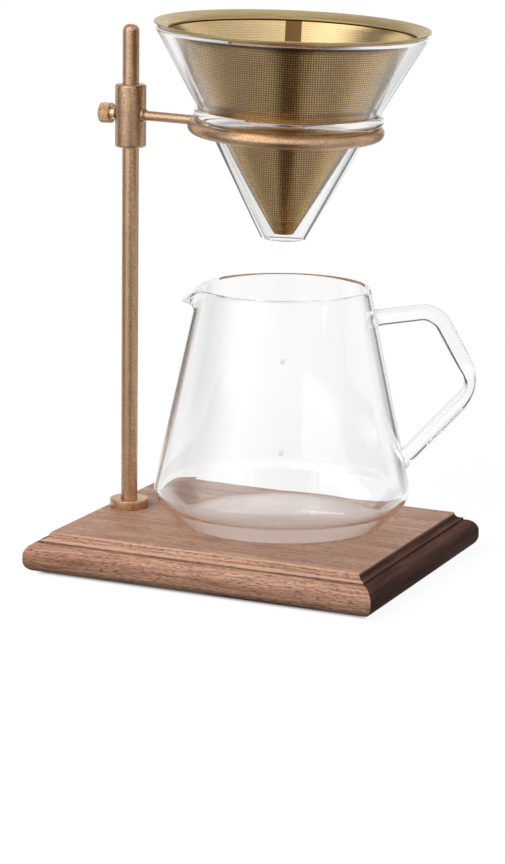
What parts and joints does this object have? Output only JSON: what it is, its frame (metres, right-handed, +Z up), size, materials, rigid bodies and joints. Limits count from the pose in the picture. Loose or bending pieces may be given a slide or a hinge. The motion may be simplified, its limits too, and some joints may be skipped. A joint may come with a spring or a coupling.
{
  "type": "pour-over dripper stand",
  "caption": "Walnut board with a brass column whose clamped arm and ring hold a glass dripper and a metal cone filter above a glass server with a bent-rod handle.",
  "frame": {"origin": "on the table, under the middle of the whole object's box", "axes": "+X from the column along the arm, +Y to the back, +Z up from the table"},
  "size_m": [0.1705, 0.134, 0.2461],
  "materials": {
    "walnut": "oiled walnut, fine open grain along the length",
    "felt": "pressed wool felt",
    "brass": "bead-blasted, lacquered",
    "bright_brass": "diamond-knurled, polished",
    "steel": "zinc-plated",
    "gilt_sheet": "gold-coated etched stainless sheet",
    "glass": "clear borosilicate, fire-polished"
  },
  "bodies": {
    "stand": {"base_board": "walnut", "foot_pad_front_left": "felt", "foot_pad_front_right": "felt", "foot_pad_back_left": "felt", "foot_pad_back_right": "felt", "column_foot": "brass", "column_washer": "steel"},
    "column": {"column": "brass", "column_bolt": "steel"},
    "carriage": {"clamp_sleeve": "brass", "arm_rod": "brass", "support_ring": "brass"},
    "screw_stud": {"thumbscrew_stud": "steel"},
    "screw_knob": {"thumbscrew_knob": "bright_brass"},
    "brewer": {"brewer_glass": "glass"},
    "filter": {"filter_flange": "gilt_sheet", "filter_cone": "gilt_sheet", "filter_tip": "gilt_sheet"},
    "server": {"server_body": "glass", "server_handle": "glass"}
  },
  "joints": [
    {"name": "swivel", "type": "hinge", "parent": "stand", "child": "column", "pos_m": [-0.0662, 0, 0.0182], "axis": [0, 0, 1], "continuous": true},
    {"name": "height", "type": "slide", "parent": "column", "child": "carriage", "axis": [0, 0, 1], "range_m": [-0.018, 0.022]},
    {"name": "screw_travel", "type": "slide", "parent": "carriage", "child": "screw_stud", "axis": [-1, 0, 0], "range_m": [0, 0.0016]},
    {"name": "screw_turn", "type": "hinge", "parent": "screw_stud", "child": "screw_knob", "pos_m": [-0.0662, 0, 0.19956], "axis": [-1, 0, 0], "range_deg": [0, 720]},
    {"name": "brewer_lift", "type": "slide", "parent": "carriage", "child": "brewer", "axis": [0.0436, -0.0244, 0.9988], "range_m": [0, 0.06]},
    {"name": "filter_lift", "type": "slide", "parent": "brewer", "child": "filter", "axis": [0.0436, -0.0244, 0.9988], "range_m": [0, 0.1]},
    {"name": "server_pull", "type": "slide", "parent": "stand", "child": "server", "axis": [0.891, 0.454, 0], "range_m": [0, 0.12]}
  ],
  "couplings": [
    {"joint": "screw_turn", "follows": "screw_travel", "rad_per_m": 7853.9}
  ]
}
